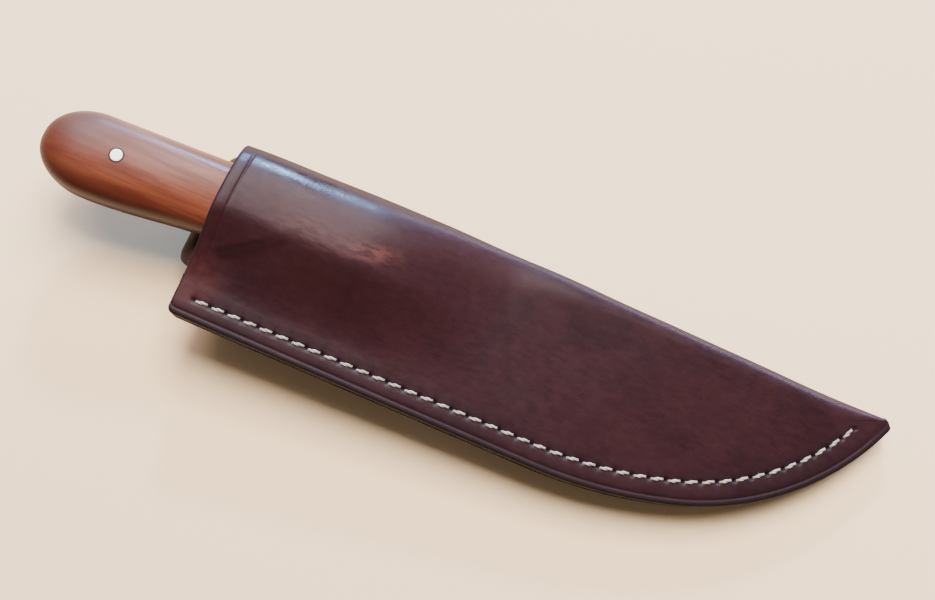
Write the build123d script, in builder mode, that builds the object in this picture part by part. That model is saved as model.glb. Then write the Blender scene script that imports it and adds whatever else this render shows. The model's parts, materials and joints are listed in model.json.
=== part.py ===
"""Hori hori garden knife in a folded leather belt sheath.

The parts are drawn on the knife plane, the mid-plane of the blade: X runs along the sheath's
spine from the mouth to the tip, Y points out through the spine edge and Z is the plane's normal.
That plane is pitched nose down, because the object lies on its belt loop and its tip.
The frame's origin is the middle of the belt loop's flat face, +Z up and +X toward the tip.
"""

from build123d import *
from math import acos, atan2, cos, degrees, radians, sin
import os

# ---- driving dimensions, in millimetres and degrees ----
PITCH = 4.5
SHEATH_LENGTH = 247.5
SHEATH_WIDTH = 65.0
LEATHER = 2.6
WELT_THICKNESS = 4.2
WELT_WIDTH = 10.5
BELLY_STRAIGHT = 133.7
SWELL_RADIUS = 177.0
SWELL_TURN = 16.7
TIP_RADIUS = 99.0
TIP_BLUNT = 1.0

POCKET_WIDTH = 45.0
POCKET_CORNER = 10.5
POCKET_SHOULDER = 63.0
POCKET_END = 82.0
POCKET_CLEARANCE = 0.4
FULL_ROUND = 0.97

STRAP_WIDTH = 32.0
STRAP_MIDDLE = -24.0
STRAP_OUT = 9.8
STRAP_START = 8.0
STRAP_FLAT_END = 44.0
STRAP_LIFT_END = 82.0
STRAP_END = 100.0
STRAP_BENDS = (4.2, 4.2, 45.0, 25.0)
SHOULDER_WIDTH = 46.0

HANDLE_LENGTH = 127.0
HANDLE_OUT = 66.5
HANDLE_THICKNESS = 19.0
HANDLE_HALF_WIDTH = 15.3
HANDLE_MIDDLE = -24.7
HANDLE_BACK_RISE = 4.0
GRIP_WAIST = 4.6
GRIP_FRONT = 5.4
BUTT_LENGTH = 20.0
SCALE_ROUND = 8.0
PIN_DIAMETER = 4.5
PIN_FROM_END = 29.0
PIN_Y = -23.2

STEEL = 2.6
DISH_DEPTH = 0.8
BLADE_BACK = -4.2
BLADE_INSET = 13.5
BLADE_POINT = 0.8
BEVEL_WIDTH = 6.0
EDGE_THICKNESS = 0.5
BACK_NOTCH = 4.0
HEEL_NOTCH = 16.0
TANG_MARGIN = 2.5
TANG_NECK = 36.0
TOOTH_PITCH = 5.0
TOOTH_DEPTH = 2.0
TOOTH_FIRST = 102.0
TOOTH_COUNT = 23

THREAD = 1.1
HOLE_THREAD = 0.8
STITCH_PITCH = 6.0
STITCH_INSET = 7.6
STITCH_LENGTH = 4.8
STITCH_SLANT = 9.0
FRONT_SINK = 0.2
BACK_SINK = 0.45
FIRST_HOLE = 7.0
LAST_HOLE_Y = -8.0
LOOP_ROWS = (87.0, 95.0)
LOOP_STITCHES = 5
LOOP_PITCH = 5.0
INNER_COVER = 0.5

# ---- worked out from them ----
HALF_SLAB = WELT_THICKNESS / 2 + LEATHER
HALF_HANDLE = HANDLE_THICKNESS / 2
HALF_POCKET = HALF_HANDLE + POCKET_CLEARANCE
HALF_BULGE = HALF_POCKET + LEATHER
HANDLE_FRONT = HANDLE_LENGTH - HANDLE_OUT
BUTT_START = BUTT_LENGTH - HANDLE_OUT
PIN_PLACES = (PIN_FROM_END - HANDLE_OUT, HANDLE_FRONT - PIN_FROM_END)
BEYOND = 2 * SHEATH_LENGTH
OVERCUT = 1.0

mouth_x = -(STRAP_FLAT_END - STRAP_OUT) / 2
mouth_z = SHEATH_LENGTH * sin(radians(PITCH)) + HALF_SLAB * cos(radians(PITCH))
knife_plane = Plane(
    origin=(mouth_x, -STRAP_MIDDLE, mouth_z),
    x_dir=(cos(radians(PITCH)), 0, -sin(radians(PITCH))),
    z_dir=(sin(radians(PITCH)), 0, cos(radians(PITCH))),
)


def lay(x, y, z):
    """The frame's coordinates of a point given on the knife plane."""
    return knife_plane.from_local_coords(Vector(x, y, z))


def across(x):
    """The plane square to the spine at x, its own X toward the spine edge and its Y upward."""
    return Plane(origin=lay(x, 0, 0), x_dir=knife_plane.y_dir, z_dir=knife_plane.x_dir)


# ---- outlines, seen square to the knife plane ----
def belly(inset, start, end_y):
    """The belly edge from x = start up to y = end_y, moved inward by inset."""
    low = inset - SHEATH_WIDTH
    tip_centre = SWELL_RADIUS - SHEATH_WIDTH
    tip_centre -= (SWELL_RADIUS - TIP_RADIUS) * cos(radians(SWELL_TURN))
    tip_turn = degrees(acos((tip_centre - end_y) / (TIP_RADIUS - inset))) - SWELL_TURN
    with BuildLine() as edge:
        flat = Line((start, low), (BELLY_STRAIGHT, low))
        swell = JernArc(flat @ 1, flat % 1, SWELL_RADIUS - inset, SWELL_TURN)
        JernArc(swell @ 1, swell % 1, TIP_RADIUS - inset, tip_turn)
    return edge.wire()


def plan(inset, start, end_y, top):
    """The area between the belly edge and a straight line at y = top."""
    with BuildSketch() as area:
        with BuildLine():
            edge = belly(inset, start, end_y)
            add(edge)
            Polyline(edge @ 1, ((edge @ 1).X, top), (start, top), edge @ 0)
        make_face()
    return area.sketch


def handle_area(margin):
    """The handle's outline, kept margin inside: an elliptical butt, a straight back and a waist."""
    half_width = HANDLE_HALF_WIDTH - margin
    low = HANDLE_MIDDLE - half_width
    high = HANDLE_MIDDLE + half_width
    with BuildSketch() as area:
        with BuildLine():
            EllipticalCenterArc(
                (BUTT_START, HANDLE_MIDDLE), BUTT_LENGTH - margin, half_width, 90, arc_size=180
            )
            back = Line((BUTT_START, high), (HANDLE_FRONT, high + HANDLE_BACK_RISE))
            grip = Spline(
                (BUTT_START, low),
                (0, low + GRIP_WAIST),
                (HANDLE_FRONT, low + GRIP_FRONT),
                tangents=((1, 0), (1, 0)),
            )
            Line(back @ 1, grip @ 1)
        make_face()
    return area.sketch


# ---- leather shapes ----
def folded(half_height, spine_y, length):
    """A slab along the spine that ends in a full-round edge at y = spine_y."""
    with BuildPart() as slab:
        with BuildSketch(across(0)):
            with Locations((spine_y - BEYOND / 2, 0)):
                SlotOverall(BEYOND, 2 * half_height)
        extrude(amount=length)
    return slab.part


def pocket(grow):
    """The room around the handle, grown by grow: a level stretch, then a slope down to the slab."""
    level = HALF_POCKET + grow
    slab = WELT_THICKNESS / 2 + grow
    corner = POCKET_CORNER - LEATHER + grow
    width = POCKET_WIDTH - 2 * (LEATHER - grow)
    with BuildPart() as room:
        for stretch in (
            ((0, level), (POCKET_SHOULDER, level)),
            ((POCKET_SHOULDER, level), (POCKET_END, slab)),
        ):
            for x, half_height in stretch:
                round_corner = min(corner, FULL_ROUND * half_height)
                with BuildSketch(across(x)):
                    with Locations((-POCKET_WIDTH / 2, 0)):
                        RectangleRounded(width, 2 * half_height, round_corner)
            loft(ruled=True)
    return room.part


# ---- sheath: one piece of leather, folded at the spine, its back running on into the belt loop ----
strap_top = HALF_BULGE - LEATHER / 2
strap_floor = LEATHER / 2
strap_nose = mouth_x - STRAP_OUT + LEATHER / 2
strap_sewn = HALF_SLAB + LEATHER / 2
loop_start = lay(STRAP_START, 0, -strap_top)
loop_fold = lay(-STRAP_OUT, 0, -strap_top)
loop_lift = lay(STRAP_LIFT_END, 0, -strap_sewn)
loop_end = lay(STRAP_END, 0, -strap_sewn)

with BuildPart() as sheath_leather:
    add(folded(HALF_SLAB, 0, SHEATH_LENGTH))
    with BuildSketch(knife_plane):
        add(plan(0, 0, -TIP_BLUNT, 0))
    extrude(amount=HALF_BULGE, both=True, mode=Mode.INTERSECT)
    add(pocket(LEATHER))
    add(folded(WELT_THICKNESS / 2, -LEATHER, BEYOND), mode=Mode.SUBTRACT)
    add(pocket(0), mode=Mode.SUBTRACT)
    with BuildSketch(Plane.XZ):
        with BuildLine():
            FilletPolyline(
                (loop_start.X, loop_start.Z),
                (strap_nose, loop_fold.Z),
                (strap_nose, strap_floor),
                (mouth_x + STRAP_FLAT_END, strap_floor),
                (loop_lift.X, loop_lift.Z),
                (loop_end.X, loop_end.Z),
                radius=STRAP_BENDS,
            )
        trace(line_width=LEATHER)
    extrude(amount=STRAP_WIDTH / 2, both=True)
    with BuildSketch(knife_plane.offset(-HALF_BULGE)):
        with Locations((0, STRAP_MIDDLE)):
            Polygon(
                (STRAP_START, -SHOULDER_WIDTH / 2),
                (STRAP_START, SHOULDER_WIDTH / 2),
                (0, SHOULDER_WIDTH / 2),
                (-STRAP_OUT / 2, STRAP_WIDTH / 2),
                (-STRAP_OUT / 2, -STRAP_WIDTH / 2),
                (0, -SHOULDER_WIDTH / 2),
                align=None,
            )
    extrude(amount=LEATHER)

# ---- welt: the strip between the two panels along the belly, which keeps the edge off the thread ----
with BuildPart() as sheath_welt:
    add(folded(WELT_THICKNESS / 2, -LEATHER, SHEATH_LENGTH))
    with BuildSketch(knife_plane):
        add(plan(0, 0, -TIP_BLUNT, 0))
        add(plan(WELT_WIDTH, -OVERCUT, -LEATHER, BEYOND), mode=Mode.SUBTRACT)
    extrude(amount=HALF_SLAB, both=True, mode=Mode.INTERSECT)

# ---- thread: a bar on each face for every stitch, and a post through the leather at every hole ----
edge_line = belly(STITCH_INSET, FIRST_HOLE, LAST_HOLE_Y)
stitch_count = round(edge_line.length / STITCH_PITCH)


def on_edge_line(step, height, turn):
    """The place along the edge stitching that many stitches from the first hole, turned from the line."""
    share = step / stitch_count
    along = edge_line % share
    point = edge_line @ share
    angle = degrees(atan2(along.Y, along.X)) + turn
    return knife_plane.location * Location((point.X, point.Y, height), (0, 0, angle))


with BuildPart() as edge_thread:
    with Locations(*[on_edge_line(step, 0, 0) for step in range(stitch_count + 1)]):
        Cylinder(HOLE_THREAD / 2, 2 * (HALF_SLAB - BACK_SINK))
    for level in (HALF_SLAB - FRONT_SINK, BACK_SINK - HALF_SLAB):
        between = [on_edge_line(step + 0.5, level, STITCH_SLANT) for step in range(stitch_count)]
        with Locations(*between):
            Cylinder(THREAD / 2, STITCH_LENGTH + THREAD, rotation=(0, 90, 0))

with BuildPart() as loop_thread:
    strap_face = BACK_SINK - HALF_SLAB - LEATHER
    post_top = INNER_COVER + WELT_THICKNESS / 2
    for x in LOOP_ROWS:
        first = STRAP_MIDDLE - LOOP_STITCHES * LOOP_PITCH / 2
        holes = [(x, first + i * LOOP_PITCH) for i in range(LOOP_STITCHES + 1)]
        with Locations(*[knife_plane.location * Location((*hole, -post_top)) for hole in holes]):
            Cylinder(
                HOLE_THREAD / 2,
                -strap_face - post_top,
                align=(Align.CENTER, Align.CENTER, Align.MAX),
            )
        with Locations(knife_plane.location * Location((x, STRAP_MIDDLE, strap_face))):
            Cylinder(THREAD / 2, LOOP_STITCHES * LOOP_PITCH, rotation=(90, 0, 0))

# ---- blade and tang: one piece of steel, the blade a shallow trough with a bevelled belly ----
blade_width = SHEATH_WIDTH - BLADE_INSET + BLADE_BACK
blade_middle = BLADE_BACK - blade_width / 2
dish_radius = blade_width**2 / 8 / DISH_DEPTH
edge_level = (DISH_DEPTH - STEEL) / 2 + EDGE_THICKNESS
face_level = (DISH_DEPTH + STEEL) / 2 + EDGE_THICKNESS
neck_top = BLADE_BACK - BACK_NOTCH
neck_bottom = BLADE_INSET - SHEATH_WIDTH + HEEL_NOTCH

with BuildPart() as bevel:
    for inset, level in ((BLADE_INSET, edge_level), (BLADE_INSET + BEVEL_WIDTH, face_level)):
        with BuildSketch(knife_plane.offset(level)):
            add(plan(inset, HANDLE_FRONT, BLADE_BACK - BLADE_POINT, BLADE_BACK))
    loft(ruled=True)
    with BuildSketch(knife_plane.offset(edge_level)):
        add(plan(BLADE_INSET, HANDLE_FRONT, BLADE_BACK - BLADE_POINT, BLADE_BACK))
    extrude(amount=-WELT_THICKNESS)

with BuildSketch() as tang_area:
    add(handle_area(TANG_MARGIN))
    with Locations((HANDLE_FRONT, (neck_top + neck_bottom) / 2)):
        Rectangle(TANG_NECK, neck_top - neck_bottom - 2 * TANG_MARGIN)

with BuildPart() as blade:
    with BuildSketch(across(HANDLE_FRONT)):
        with Locations((blade_middle, dish_radius - DISH_DEPTH / 2)):
            Circle(dish_radius + STEEL / 2)
            Circle(dish_radius - STEEL / 2, mode=Mode.SUBTRACT)
        with Locations((blade_middle, 0)):
            Rectangle(SHEATH_WIDTH, 2 * WELT_THICKNESS, mode=Mode.INTERSECT)
    extrude(amount=SHEATH_LENGTH)
    add(bevel.part, mode=Mode.INTERSECT)
    with BuildSketch(knife_plane):
        with Locations((HANDLE_FRONT, BLADE_INSET - SHEATH_WIDTH)):
            Circle(HEEL_NOTCH)
        with Locations((HANDLE_FRONT, BLADE_BACK)):
            Circle(BACK_NOTCH)
        with Locations(*[(TOOTH_FIRST + i * TOOTH_PITCH, BLADE_BACK) for i in range(TOOTH_COUNT)]):
            Polygon((-TOOTH_DEPTH, OVERCUT), (0, -TOOTH_DEPTH), (TOOTH_DEPTH, OVERCUT), align=None)
    extrude(amount=WELT_THICKNESS, both=True, mode=Mode.SUBTRACT)
    with BuildSketch(knife_plane):
        add(tang_area.sketch)
    extrude(amount=STEEL / 2, both=True)
    with Locations(*[knife_plane.location * Location((x, PIN_Y, 0)) for x in PIN_PLACES]):
        Cylinder(PIN_DIAMETER / 2, HANDLE_THICKNESS, mode=Mode.SUBTRACT)


# ---- handle: two wooden scales that meet around the tang, and the pins through all three ----
with BuildPart() as handle_scale_front:
    with BuildSketch(knife_plane):
        add(handle_area(0))
    extrude(amount=HALF_HANDLE)
    top = handle_scale_front.faces().sort_by(Axis(knife_plane.origin, knife_plane.z_dir))[-1]
    fillet(top.edges(), SCALE_ROUND)
    with BuildSketch(knife_plane):
        add(tang_area.sketch)
    extrude(amount=STEEL / 2, mode=Mode.SUBTRACT)
    with Locations(*[knife_plane.location * Location((x, PIN_Y, 0)) for x in PIN_PLACES]):
        Cylinder(PIN_DIAMETER / 2, HANDLE_THICKNESS, mode=Mode.SUBTRACT)

with BuildPart() as handle_scale_back:
    mirror(handle_scale_front.part, about=knife_plane)

with BuildPart() as handle_pins:
    with Locations(*[knife_plane.location * Location((x, PIN_Y, 0)) for x in PIN_PLACES]):
        Cylinder(PIN_DIAMETER / 2, HANDLE_THICKNESS)

# ---- one STEP for each piece ----
os.makedirs("parts", exist_ok=True)
for label, piece in (
    ("sheath_leather", sheath_leather),
    ("sheath_welt", sheath_welt),
    ("edge_thread", edge_thread),
    ("loop_thread", loop_thread),
    ("blade", blade),
    ("handle_scale_front", handle_scale_front),
    ("handle_scale_back", handle_scale_back),
    ("handle_pins", handle_pins),
):
    piece.part.label = label
    export_step(piece.part, f"parts/{label}.step")
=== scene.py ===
"""The looks of a hori hori knife in its folded leather belt sheath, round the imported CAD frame.

Points are (x, y, z) in millimetres on the knife plane: x runs along the sheath's spine from the
mouth to the tip, y points out through the spine edge and z is the plane's normal. in_frame()
turns them into metres in the CAD frame.
"""

import json
import math

import bmesh
import bpy
import numpy as np
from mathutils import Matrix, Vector


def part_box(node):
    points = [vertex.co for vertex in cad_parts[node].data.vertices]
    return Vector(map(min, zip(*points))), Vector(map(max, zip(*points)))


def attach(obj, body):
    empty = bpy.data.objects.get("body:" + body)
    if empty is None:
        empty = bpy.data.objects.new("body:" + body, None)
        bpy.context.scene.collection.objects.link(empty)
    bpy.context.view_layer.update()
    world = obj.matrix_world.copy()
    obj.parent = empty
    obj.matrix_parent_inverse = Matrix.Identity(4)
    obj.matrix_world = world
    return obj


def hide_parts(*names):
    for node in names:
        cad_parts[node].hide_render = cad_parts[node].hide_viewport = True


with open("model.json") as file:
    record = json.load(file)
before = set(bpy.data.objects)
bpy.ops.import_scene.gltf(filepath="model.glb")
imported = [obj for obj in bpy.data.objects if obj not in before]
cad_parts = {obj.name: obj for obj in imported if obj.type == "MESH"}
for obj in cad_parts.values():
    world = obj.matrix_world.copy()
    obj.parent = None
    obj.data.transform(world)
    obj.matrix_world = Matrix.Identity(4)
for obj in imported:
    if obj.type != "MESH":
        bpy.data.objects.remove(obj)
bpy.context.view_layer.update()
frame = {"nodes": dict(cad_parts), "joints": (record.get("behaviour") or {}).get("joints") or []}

# ---- the knife plane, from the frame ----
MM = 0.001
DRAW = np.array(frame["joints"][0]["axis"], float)
ALONG = -DRAW / np.linalg.norm(DRAW)
ACROSS = np.array((0.0, 1.0, 0.0))
NORMAL = np.cross(ALONG, ACROSS)
PITCH = math.atan2(-ALONG[2], ALONG[0])
PINS_MIDDLE = np.array((-3.0, -23.2))


def middle(node):
    """The middle of a CAD node's box, in millimetres in the frame."""
    low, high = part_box(node)
    return (np.array(low) + np.array(high)) / 2 / MM


ORIGIN = middle("handle_pins") - PINS_MIDDLE[0] * ALONG - PINS_MIDDLE[1] * ACROSS


def in_frame(points):
    """Points on the knife plane as metres in the frame."""
    plane = np.stack((ALONG, ACROSS, NORMAL))
    return (ORIGIN + np.asarray(points, float) @ plane) * MM


# ---- camera ----
LOOK_AT = (92.7, -18.4, -4.8)
CAMERA_AZIMUTH = math.radians(22.84)
CAMERA_ELEVATION = math.radians(77.5)
CAMERA_DISTANCE = 0.4
CAMERA_LENS = 43.34


def aim(name, data, point, away, distance):
    """A camera or a light that faces a point on the knife plane from some way off."""
    item = bpy.data.objects.new(name, data)
    bpy.context.scene.collection.objects.link(item)
    item.location = Vector(in_frame(point)) + distance * away
    item.rotation_mode = "QUATERNION"
    item.rotation_quaternion = away.to_track_quat("Z", "Y")
    return item


def make_camera():
    """The photograph's point of view: hand-held, nearly overhead, from the mouth's belly side."""
    data = bpy.data.cameras.new("camera")
    data.sensor_width = 36.0
    data.lens = CAMERA_LENS
    back = Vector((
        math.sin(CAMERA_AZIMUTH) * math.cos(CAMERA_ELEVATION),
        -math.cos(CAMERA_AZIMUTH) * math.cos(CAMERA_ELEVATION),
        math.sin(CAMERA_ELEVATION),
    ))
    bpy.context.scene.camera = aim("camera", data, LOOK_AT, back, CAMERA_DISTANCE)


make_camera()

# ---- sizes of the sheath ----
LEATHER = 2.6
HALF_WELT = 2.1
HALF_SLAB = HALF_WELT + LEATHER
SHEATH_WIDTH = 65.0
BELLY_STRAIGHT = 133.7
SWELL_RADIUS = 177.0
SWELL_TURN = math.radians(16.7)
TIP_RADIUS = 99.0
TIP_BLUNT = 2.2
MOUTH_CORNER = 2.4
TIP_CORNER = 1.8
SPINE_BOW = 2.1
SPINE_REST = 0.3
BOW_PEAK = 90.0
SHEATH_LENGTH = 247.5

BULGE = 12.5 - HALF_SLAB
BULGE_FLAT_END = 50.0
BULGE_FADE_END = 108.0
CROWN_FADE_START = 30.0
CROWN_FADE_END = 150.0
CROWN_START = -30.0
# Where a panel's fall from its crest starts and ends, and the power that shapes it.
FRONT_FALL = (-24.5, -53.0, 0.85)
BACK_FALL = (-36.0, -53.0, 1.0)
BACK_ROUND = 9.0
SLAB_ROUND = 7.0
SLAB_POWER = 2.3
CROWN_POWER = 2.6

STRAP_HALF_WIDTH = 16.0
STRAP_MIDDLE = -24.0
SHOULDER_HALF_WIDTH = 23.0
SHOULDER_LENGTH = 9.9
SHOULDER_POWER = 1.6
# The shoulders' swell, and how much of it tucks in behind the mouth: belly side, spine side.
SHOULDER_SWELL = (6.7, 8.4)
SHOULDER_TUCK = (0.0, 4.5)
TUCK_LENGTH = 1.6
STRAP_OUT = 9.8
STRAP_START = 8.0
STRAP_FLAT_END = 44.0
STRAP_LIFT = 82.0
STRAP_END = 100.0
STRAP_BENDS = (4.2, 4.2, 45.0, 25.0)
STRAP_TOP = 11.2
STRAP_SEWN = 6.0
STRAP_STEP = 0.8
BEND_STEPS = 12
STRAP_EDGE = 0.55
STRAP_MERGE = (5.0, 6.0)
STRAP_WAVE = (0.10, 7.0, 2.0)
STRAP_BURNISH = (0.1, 0.6)
THIN_END = 0.8
STRAP_END_CORNER = (6.0, 3.0)
STRAP_RING = 25

STITCH_INSET = 7.1
STITCH_DRIFT = 1.7
DRIFT_POWER = 1.4
LINE_STEPS = 3000
STITCH_PITCH = 6.0
FIRST_HOLE = 7.0
LAST_HOLE_Y = -8.1


# ---- shapes as formulas ----
def smooth(share):
    """0 below 0, 1 above 1 and an easy turn between."""
    t = np.clip(share, 0, 1)
    return t * t * (3 - 2 * t)


def dent(distance, width):
    """1 at distance 0, falling off to nothing over a few widths."""
    return np.exp(-((distance / width) ** 2))


def corner_cut(gap, length, depth):
    """How far an elliptic corner stands back from a square one, gap away from the corner."""
    short = np.clip(1 - gap / length, 0, 1)
    return depth * (1 - np.sqrt(1 - short**2))


def belly_edge(run):
    """Points and inward normals of the belly edge, run millimetres from the mouth along it."""
    run = np.asarray(run, float)
    tip_start = BELLY_STRAIGHT + SWELL_RADIUS * SWELL_TURN
    turn = np.clip((run - BELLY_STRAIGHT) / SWELL_RADIUS, 0, SWELL_TURN)
    turn += np.maximum(run - tip_start, 0) / TIP_RADIUS
    radius = np.where(run < tip_start, SWELL_RADIUS, TIP_RADIUS)
    step = SWELL_RADIUS - radius
    x = BELLY_STRAIGHT + step * math.sin(SWELL_TURN) + radius * np.sin(turn)
    y = SWELL_RADIUS - SHEATH_WIDTH - step * math.cos(SWELL_TURN) - radius * np.cos(turn)
    x = np.where(run < BELLY_STRAIGHT, run, x)
    y = np.where(run < BELLY_STRAIGHT, corner_cut(run, MOUTH_CORNER, MOUTH_CORNER) - SHEATH_WIDTH, y)
    inward = np.stack((-np.sin(turn), np.cos(turn)), -1)
    corner = corner_cut(belly_length() - run, TIP_CORNER, TIP_CORNER)
    return np.stack((x, y), -1) + inward * corner[..., None], inward


def belly_length():
    """The belly edge's length from the mouth to the blunt tip."""
    tip_y = SWELL_RADIUS - SHEATH_WIDTH - (SWELL_RADIUS - TIP_RADIUS) * math.cos(SWELL_TURN)
    turn = math.acos((tip_y + TIP_BLUNT) / TIP_RADIUS)
    return BELLY_STRAIGHT + SWELL_RADIUS * SWELL_TURN + TIP_RADIUS * (turn - SWELL_TURN)


def spine_edge(x):
    """How far the folded spine stands out of the straight line from mouth to tip."""
    rise = SPINE_REST + SPINE_BOW * np.sin(np.pi / 2 * np.clip(x / BOW_PEAK, 0, 1))
    fall = np.cos(np.pi / 2 * np.clip((x - BOW_PEAK) / (SHEATH_LENGTH - BOW_PEAK), 0, 1)) ** 2
    return np.where(x < BOW_PEAK, rise, (SPINE_REST + SPINE_BOW) * fall)


def along_handle(x):
    """1 where the leather wraps the handle, easing to 0 where the pocket holds the blade alone."""
    return 1 - smooth((x - BULGE_FLAT_END) / (BULGE_FADE_END - BULGE_FLAT_END))


def height(x, y, side=1):
    """How far a panel's outer face stands from the knife plane, on the front or (side -1) the back."""
    apex, foot, fall = FRONT_FALL if side > 0 else BACK_FALL
    share = np.clip((apex - y) / (apex - foot), 0, 1)
    return HALF_SLAB + BULGE * along_handle(x) * (1 - smooth(share**fall))


def fallen(x, y, side):
    """How far the panel has already dropped from its crest at y."""
    return HALF_SLAB + BULGE * along_handle(x) - height(x, y, side)


def fold_round(x, side):
    """How far in from the spine the leather starts to turn, and how square that turn is."""
    wide = -CROWN_START if side > 0 else BACK_ROUND
    share = 1 - smooth((x - CROWN_FADE_START) / (CROWN_FADE_END - CROWN_FADE_START))
    start = SLAB_ROUND + (wide - SLAB_ROUND) * share
    return start, SLAB_POWER + (CROWN_POWER - SLAB_POWER) * share


def stitch_inset(run):
    """How far inside the belly edge the stitching lies: a little further in toward the tip."""
    return STITCH_INSET + STITCH_DRIFT * (run / belly_length()) ** DRIFT_POWER


def stitch_line(run):
    """Points on the stitching's line, beside the belly edge's points."""
    edge, inward = belly_edge(run)
    return edge + inward * stitch_inset(run)[:, None]


def lengths_along(path):
    """How far along a path each of its points is."""
    return np.concatenate(((0,), np.cumsum(np.linalg.norm(np.diff(path, axis=0), axis=1))))


def stitch_runs():
    """The belly-edge runs of the stitch holes, evenly spaced along the stitching."""
    run = np.linspace(FIRST_HOLE, belly_length(), LINE_STEPS)
    line = stitch_line(run)
    keep = line[:, 1] < LAST_HOLE_Y
    length = lengths_along(line[keep])
    count = round(length[-1] / STITCH_PITCH)
    return np.interp(np.linspace(0, length[-1], count + 1), length, run[keep])


HOLES = stitch_runs()


# ---- mesh helpers ----
def grid_faces(rows, columns, start=0, closed=False):
    """Quads over points numbered row by row; a closed grid joins its last column to its first."""
    here = columns * np.arange(rows - 1)[:, None]
    above = here + columns
    left = np.arange(columns if closed else columns - 1)[None, :]
    right = (left + 1) % columns
    quads = (here + left, here + right, above + right, above + left)
    return start + np.stack(quads, -1).reshape(-1, 4)


def make_piece(name, body, node, points, faces, materials, values=None, material_index=None):
    """A smooth mesh piece that rides on a body and stands for a CAD node."""
    mesh = bpy.data.meshes.new(name)
    mesh.from_pydata(in_frame(points).tolist(), [], [list(map(int, face)) for face in faces])
    for key, value in (values or {}).items():
        layer = mesh.attributes.new(key, "FLOAT", "POINT")
        layer.data.foreach_set("value", np.asarray(value, np.float32))
    for material in materials:
        mesh.materials.append(material)
    mesh.polygons.foreach_set("use_smooth", np.ones(len(mesh.polygons), bool))
    if material_index is not None:
        mesh.polygons.foreach_set("material_index", np.asarray(material_index, np.int32))
    mesh.validate()
    shell = bmesh.new()
    shell.from_mesh(mesh)
    bmesh.ops.recalc_face_normals(shell, faces=shell.faces)
    shell.to_mesh(mesh)
    shell.free()
    piece = bpy.data.objects.new(name, mesh)
    bpy.context.scene.collection.objects.link(piece)
    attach(piece, body)
    if node:
        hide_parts(node)


def row_normals(points):
    """Unit normals of a grid of points, from the differences along and across it."""
    across = np.gradient(points, axis=0)
    along = np.gradient(points, axis=1)
    normal = np.cross(along, across)
    return normal / np.maximum(np.linalg.norm(normal, axis=-1, keepdims=True), 1e-9)


def ring_loft(rings):
    """Points and faces of closed rings joined in order, with a flat face on each end."""
    rings = np.asarray(rings, float)
    count, size = rings.shape[:2]
    faces = [list(face) for face in grid_faces(count, size, closed=True)]
    faces.append(list(range(size))[::-1])
    faces.append([(count - 1) * size + k for k in range(size)])
    return rings.reshape(-1, 3), faces


# ---- material helpers ----
def feed(tree, socket, value):
    """Give a socket a value, or link another node's output to it."""
    if isinstance(value, bpy.types.NodeSocket):
        tree.links.new(value, socket)
    else:
        socket.default_value = value


def add_node(tree, kind, inputs=None, **settings):
    """A node with its settings and inputs; an input is a value or another node's output."""
    node = tree.nodes.new(kind)
    for key, value in settings.items():
        setattr(node, key, value)
    for key, value in (inputs or {}).items():
        feed(tree, node.inputs[key], value)
    return node


def new_material(name):
    """An empty principled material: its tree, shader and the knife-plane coordinates."""
    material = bpy.data.materials.new(name)
    material.use_nodes = True
    tree = material.node_tree
    shader = tree.nodes["Principled BSDF"]
    place = add_node(tree, "ShaderNodeTexCoord").outputs["Object"]
    local = add_node(
        tree,
        "ShaderNodeMapping",
        {"Vector": place, "Location": tuple(ORIGIN * MM), "Rotation": (0, PITCH, 0), "Scale": (MM, MM, MM)},
        vector_type="TEXTURE",
    )
    return material, tree, shader, local.outputs[0]


def stretch(tree, local, scale):
    """The coordinates multiplied axis by axis, so that a pattern runs along the small axis."""
    return add_node(tree, "ShaderNodeMapping", {"Vector": local, "Scale": scale}).outputs[0]


def noise(tree, vector, scale, detail, rough, distortion=0.0):
    """Fractal noise whose features are about 1/scale millimetres."""
    inputs = {"Vector": vector, "Scale": scale, "Detail": detail}
    inputs |= {"Roughness": rough, "Distortion": distortion}
    return add_node(tree, "ShaderNodeTexNoise", inputs).outputs["Fac"]


def calc(tree, operation, a, b):
    """One arithmetic step."""
    return add_node(tree, "ShaderNodeMath", {0: a, 1: b}, operation=operation).outputs[0]


def times(tree, a, b):
    """The product of two values."""
    return calc(tree, "MULTIPLY", a, b)


def spread(tree, value, low, high, to_low=0.0, to_high=1.0):
    """The value mapped smoothly from one range to another, and held at its ends."""
    inputs = {"Value": value, "From Min": low, "From Max": high, "To Min": to_low, "To Max": to_high}
    return add_node(tree, "ShaderNodeMapRange", inputs, interpolation_type="SMOOTHSTEP").outputs[0]


def mix(tree, share, a, b):
    """Colour a turning to colour b as share goes from 0 to 1."""
    node = add_node(tree, "ShaderNodeMix", {0: share}, data_type="RGBA")
    for socket, value in ((node.inputs[6], a), (node.inputs[7], b)):
        feed(tree, socket, (*value, 1.0) if isinstance(value, tuple) else value)
    return node.outputs[2]


def tint(tree, colour, share, strength, other):
    """The colour turned toward another one, as far as share times strength."""
    return mix(tree, times(tree, share, strength), colour, other)


def patch(tree, local, centre, size, softness=1.0):
    """1 inside an ellipse on the knife plane, easing to 0 outside it."""
    inputs = {0: local, 1: (*centre, 0)}
    shifted = add_node(tree, "ShaderNodeVectorMath", inputs, operation="SUBTRACT").outputs[0]
    inputs = {0: shifted, 1: (1 / size[0], 1 / size[1], 0)}
    scaled = add_node(tree, "ShaderNodeVectorMath", inputs, operation="MULTIPLY").outputs[0]
    radius = add_node(tree, "ShaderNodeVectorMath", {0: scaled}, operation="LENGTH").outputs["Value"]
    return spread(tree, radius, 1 - softness, 1, 1, 0)


def axes(tree, local):
    """The x and y of the coordinates."""
    return add_node(tree, "ShaderNodeSeparateXYZ", {0: local}).outputs[:2]


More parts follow.
